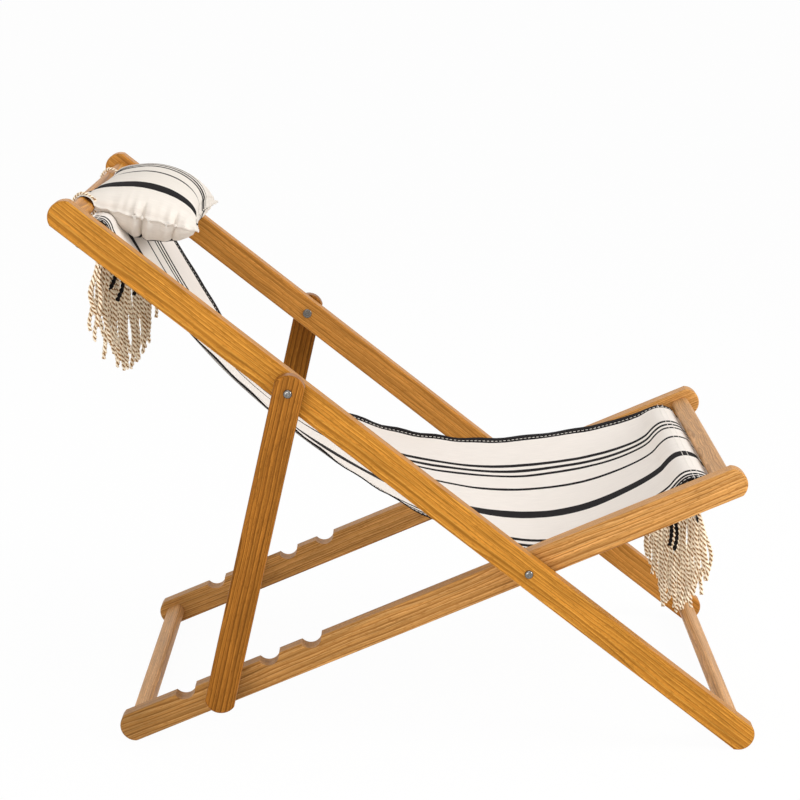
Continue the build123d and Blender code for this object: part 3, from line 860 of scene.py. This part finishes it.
# Each black cord by its number, with its pull towards the seat and its length
top_black = {17: (0.012, 0.054), 19: (0.0085, 0.075), 36: (0.013, 0.095)}
front_black = {22: (0.0115, 0.088), 30: (0.0135, 0.104), 40: (0.004, 0.100)}
for end, rod, inward, cord_long, black_cords in (
    ("top", top_rod, 1, 0.194, top_black),
    ("front", front_rod, -1, 0.206, front_black),
):
    hem = Vector((rod.x + inward * tail_inset, 0, rod.z - tail_drop))
    shades = {"natural": [], "black": []}
    for cord in range(cord_count):
        share = (cord + 0.5) / cord_count
        full_length = cord_long * math.sin(math.pi * (longer_from + longer_run * share))
        length = cord_short + full_length + cord_uneven * math.sin(cord * length_step)
        sway = cord_sway * math.sin(cord * sway_step) + inward * fringe_lean * (2 * share - 1)
        drawn = cord_drawn * math.sin(cord * drawn_step)
        kind = "black" if cord in black_cords else "natural"
        if kind == "black":
            pulled, length = black_cords[cord]
            sway += inward * pulled
            drawn = black_drawn
        fall = np.linspace(0, 1, cord_points)
        bow = np.sin(fall * math.pi * bow_turn)
        bend = cord_bend * fall * np.sin(fall * (wave_turn + cord % 4) + cord * bend_step)
        wave = cord_wave * fall * np.sin(fall * wave_turn + cord * wave_step)
        shades[kind].append(
            np.stack(
                [
                    hem.x + sway * bow * sway_full + bend,
                    (share - 0.5) * fringe_spread * half_width + drawn * fall + wave,
                    hem.z + cord_start - (length + cord_extra) * fall,
                ],
                1,
            )
        )
    for kind, cotton in (("natural", natural_cord), ("black", black_cord)):
        cords = grown(
            lines_mesh(f"fringe_{end}_{kind}", shades[kind]),
            two_ply,
            {"Thickness": cord_thick, "Lay": cord_lay, "Cotton": cotton},
        )
        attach(cords, "back_frame" if end == "top" else "seat_frame")
    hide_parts(f"fringe_{end}")

# The cloth and its stitches keep their place, with it baked into their meshes
for cloth in (sling, stitches):
    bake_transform(cloth)


# Head pillow: two panels of the same canvas sewn edge to edge and stuffed, so its corners stand out,
# its sides draw in and the seam puckers. It lies on the top rail and on the sling below it.
half_wide, half_deep = 0.157, 0.085
drawn_wide, drawn_deep = 0.0028, 0.0131
set_over = 0.002
crown, crown_lean = 0.0505, 0.13
belly, belly_lean = 0.0464, 0.05
lip, seam_pucker = 0.0008, 0.0011
# Powers that keep the pucker close to the long seams and to the short ones
long_hold, short_hold = 24, 40
panel_wide, panel_deep = 0.369, 0.200
columns, ranks = 130, 180


def spread(cells):
    """Steps from -1 to 1 that lie closer together at both seams."""
    t = np.linspace(-1, 1, cells + 1)
    return 0.5 * t + 0.5 * np.sin(t * math.pi / 2)


def swell(at, seam, power, shoulder):
    """Height of the stuffing, 1 in the middle and 0 from the seam outwards."""
    return (1 - np.minimum(np.abs(at) / seam, 1) ** power) ** shoulder


def pucker(place, waves, drift, drift_waves, phase=0):
    """A wave along a seam, with a spacing that drifts."""
    return np.sin(place * waves + drift * np.sin(place * drift_waves + phase))


def gather(from_seam, depth, reach, start=0.003):
    """Depth of the gathers: none at the seam, most a few mm inside it, and fading with its reach."""
    return depth * np.exp(-from_seam / reach) * (1 - np.exp(-from_seam / start))


def bell(apart, width):
    """A smooth bump, 1 in its middle."""
    return np.exp(-((apart / width) ** 2))


# u runs from the right side to the left, v from the rear seam to the front one
u, v = np.meshgrid(spread(columns), spread(ranks), indexing="ij")
wide = u * (half_wide - drawn_wide * (1 - v**2)) + set_over
deep = v * (half_deep - drawn_deep * (1 - u**2))
# A flat lip of 3 mm outside the seam, then the stuffed part
full = swell(u, seam=0.982, power=3.6, shoulder=0.61) * swell(v, seam=0.965, power=2, shoulder=0.43)
wave = seam_pucker * pucker(wide, waves=290, drift=0.9, drift_waves=94) * np.abs(v) ** long_hold
wave += seam_pucker * pucker(deep, waves=330, drift=0.8, drift_waves=120) * np.abs(u) ** short_hold
panels = {
    1: np.stack([wide, deep, crown * full * (1 + crown_lean * u) + lip + wave], -1),
    -1: np.stack([wide, deep, -belly * full * (1 + belly_lean * u) - lip + wave], -1),
}
from_long = (1 - np.abs(v)) * half_deep
from_short = (1 - np.abs(u)) * half_wide
groove_at, groove_wide, groove_deep = 0.0042, 0.0014, 0.0016
# Each tuck's place along the right side, its reach in the lower panel and its depth
tucks = ((-0.02, 0.70, 0.0075), (0.57, 0.46, 0.0065))
upper_reach = 0.12
# A tuck is a sharp crease in a wider hollow, with a swelling on either side, and ends just short of the seam
crease_wide, hollow_wide, hollow_share = 0.0018, 0.007, 0.4
bulge_at, bulge_wide, bulge_share = 0.011, 0.006, 0.5
tuck_end = 0.002
for panel, shape in panels.items():
    # Gathers at right angles to the seam, a groove beside it, and the tucks, longest in the lower panel
    press = gather(from_long, depth=0.0012, reach=0.014)
    press *= pucker(wide, waves=370, drift=1.4, drift_waves=71, phase=panel)
    ease = gather(from_short, depth=0.0010, reach=0.016)
    press += ease * pucker(deep, waves=400, drift=1.3, drift_waves=83, phase=2 * panel)
    press -= groove_deep * bell(np.minimum(from_short, from_long) - groove_at, groove_wide)
    for at, lower_reach, sink in tucks:
        off = (v - at) * half_deep
        fade = np.clip(1 - (u + 1) / (lower_reach if panel == -1 else upper_reach), 0, 1)
        fade *= 1 - np.exp(-from_short / tuck_end)
        crease = bell(off, crease_wide) + hollow_share * bell(off, hollow_wide)
        bulge = bulge_share * bell(np.abs(off) - bulge_at, bulge_wide)
        press -= sink * fade * (crease - bulge)
    facing = np.cross(np.gradient(shape, axis=0), np.gradient(shape, axis=1))
    facing /= np.linalg.norm(facing, axis=2, keepdims=True)
    shape += facing * (panel * press)[:, :, None]
panels[-1][[0, -1]] = panels[1][[0, -1]]
panels[-1][:, [0, -1]] = panels[1][:, [0, -1]]

# Its rear seam lies over the top rail and its front edge is tilted up off the cloth
rail = middle("top_rail")
down_back = Vector((back_run.x, 0, back_run.z)).normalized()
off_back = Vector((-down_back.z, 0, down_back.x))
tilt = math.radians(25.1)
set_down, set_off = 0.0789, 0.0393
rail_clear = 0.0152
number = np.arange(u.size).reshape(u.shape)
under = number.copy()
inner = (columns - 1, ranks - 1)
under[1:-1, 1:-1] = u.size + np.arange(inner[0] * inner[1]).reshape(inner)
spots = np.vstack([panels[1].reshape(-1, 3), panels[-1][1:-1, 1:-1].reshape(-1, 3)])
rear = np.concatenate([v.ravel(), v[1:-1, 1:-1].ravel()])
down_by = set_down + spots[:, 1] * math.cos(tilt) - spots[:, 2] * math.sin(tilt)
off_by = set_off + spots[:, 1] * math.sin(tilt) + spots[:, 2] * math.cos(tilt)
# Towards the rear seam it is drawn back over the rail, furthest at its right corner, which also sinks
over_start = 0.45
drawn_back, right_back = 0.0075, 0.0105
raised, right_sunk = 0.0045, 0.0095
over_rail = np.clip((-rear - over_start) / (1 - over_start), 0, 1) ** 2
lean = 0.5 - spots[:, 0] / half_wide / 2
down_by -= (drawn_back + right_back * lean) * over_rail
off_by += (raised - right_sunk * lean) * over_rail
off_by = np.maximum(off_by, np.sqrt(np.clip(rail_clear**2 - down_by**2, 0, None)))
# Below, it lies on the sling and on the pocket round the top rod
rest_gap, nowhere = 0.001, -1.0
row_of = np.abs(rows[:, None] - spots[:, 0]).argmin(0)
for row in np.unique(row_of):
    apart = grid[row] - np.array(rail)
    cloth_down, cloth_off = apart @ np.array(down_back), apart @ np.array(off_back)
    sheet = slice(int(cloth_down[: steps // 2].argmin()), steps // 2)
    here = row_of == row
    rests = np.interp(down_by[here], cloth_down[sheet], cloth_off[sheet], left=nowhere, right=nowhere)
    off_by[here] = np.maximum(off_by[here], rests + cloth_thick / 2 + rest_gap)
laid = np.array(rail) + np.outer(down_by, down_back) + np.outer(off_by, off_back)
laid += np.outer(spots[:, 0], across_run)

flat = np.stack([(u + 1) / 2 * panel_wide, (v + 1) / 2 * panel_deep], -1).reshape(-1, 2)
lower_cut = woven_faces(number)
upper = lower_cut[:, [0, 3, 2, 1]]
lower = woven_faces(under)
lower_panel = (0, 0.5)
pillow_mesh = bpy.data.meshes.new("head_pillow")
pillow_mesh.from_pydata(laid.tolist(), [], [*upper.tolist(), *lower.tolist()])
pillow_map = pillow_mesh.uv_layers.new(name="cloth")
pillow_cut = np.vstack([flat[upper.ravel()], flat[lower_cut.ravel()] + lower_panel])
pillow_map.uv.foreach_set("vector", pillow_cut.astype(np.float32).ravel())
pillow_mesh.polygons.foreach_set("use_smooth", [True] * len(pillow_mesh.polygons))
pillow = bpy.data.objects.new("head_pillow", pillow_mesh)
scene.collection.objects.link(pillow)
pillow_stripes = ((-130, -104), (-19, -9), (38, 48), (59, 69), (80, 90))
pillow_canvas = striped_canvas("striped_cotton_pillow", "#ece4da", panel_wide, pillow_stripes)
pillow_mesh.materials.append(pillow_canvas)
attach(pillow, "pillow")
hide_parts("pillow")


# Pillow ties: a loop of natural two-ply cotton rope at each rear corner of the pillow, taken round the
# top rail and sewn back into the same corner.
rope_thick, rope_lay = 0.0055, 0.0090
tie_reach = 0.145
# The loop's points down the back and off it, from the rail's middle
rope_round = (
    (0.004, 0.0160), (-0.0133, 0.0167), (-0.0192, 0.0009), (-0.0128, -0.0162), (0.0009, -0.0184),
    (0.0144, -0.0144), (0.0184, 0.0005), (0.0144, 0.0144), (0.006, 0.0165),
)
for side, reach in (("right", -tie_reach), ("left", tie_reach)):
    route = bpy.data.curves.new(f"tie_route_{side}", "CURVE")
    route.dimensions = "3D"
    route.resolution_u = 10
    line = route.splines.new("NURBS")
    line.points.add(len(rope_round) - 1)
    for at, (down, off) in zip(line.points, rope_round):
        at.co = (*(rail + down_back * down + off_back * off + Vector((0, reach, 0))), 1.0)
    line.order_u = 3
    line.use_endpoint_u = True
    guide = bpy.data.objects.new(f"tie_guide_{side}", route)
    scene.collection.objects.link(guide)
    bare = bpy.data.meshes.new_from_object(guide.evaluated_get(bpy.context.evaluated_depsgraph_get()))
    path = np.array([vertex.co for vertex in bare.vertices])
    bpy.data.objects.remove(guide)
    tie = grown(
        lines_mesh(f"pillow_rope_{side}", [path]),
        two_ply,
        {"Thickness": rope_thick, "Lay": rope_lay, "Cotton": natural_cord},
    )
    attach(tie, "pillow")
    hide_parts(f"pillow_tie_{side}")
